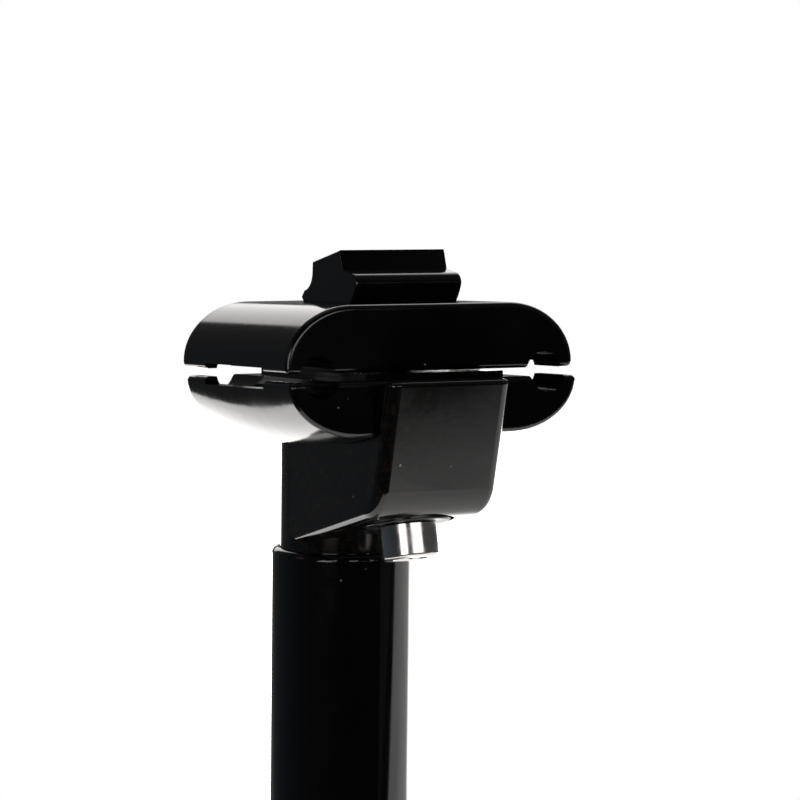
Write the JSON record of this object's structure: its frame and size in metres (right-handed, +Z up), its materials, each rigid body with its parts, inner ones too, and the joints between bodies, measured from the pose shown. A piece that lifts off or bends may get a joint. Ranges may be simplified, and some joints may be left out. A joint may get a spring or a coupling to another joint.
{
  "type": "bicycle seatpost",
  "caption": "Straight round seatpost with a forged head and a single-bolt, tilting saddle-rail clamp under a bar nut.",
  "frame": {"origin": "centre of the tube's bottom end, on the tube's axis", "axes": "+Z up the tube, +Y forward to the saddle's nose, X across the saddle rails; the bolt is behind, towards -Y"},
  "size_m": [0.0556, 0.0508, 0.3212],
  "materials": {
    "tube_paint": "gloss black",
    "head_paint": "gloss black over a forging",
    "clamp_paint": "gloss black",
    "nut_black": "satin black",
    "bolt_bright": "bright plated",
    "washer_black": "black oxide"
  },
  "bodies": {
    "post": {"post_tube": "tube_paint", "head": "head_paint", "bolt_washer": "washer_black"},
    "cradle": {"lower_cradle": "clamp_paint"},
    "top_clamp": {"upper_clamp": "clamp_paint"},
    "bolt": {"clamp_bolt": "bolt_bright"},
    "nut": {"nut_bar": "nut_black"}
  },
  "joints": [
    {"name": "saddle_tilt", "type": "hinge", "parent": "post", "child": "cradle", "pos_m": [0, -0.0122, 0.3198], "axis": [1, 0, 0], "range_deg": [-27, 4]},
    {"name": "bolt_turn", "type": "hinge", "parent": "post", "child": "bolt", "pos_m": [0, -0.0122, 0.3198], "axis": [0, -0.2334, -0.9724], "range_deg": [0, 3240]},
    {"name": "nut_lift", "type": "slide", "parent": "post", "child": "nut", "axis": [0, 0.2334, 0.9724], "range_m": [0, 0.009]},
    {"name": "clamp_lift", "type": "slide", "parent": "cradle", "child": "top_clamp", "axis": [0, 0.0349, 0.9994], "range_m": [0, 0.0057]}
  ],
  "couplings": [
    {"joint": "bolt_turn", "follows": "nut_lift", "rad_per_m": 6283.2},
    {"joint": "clamp_lift", "follows": "nut_lift", "ratio": 0.6333}
  ]
}
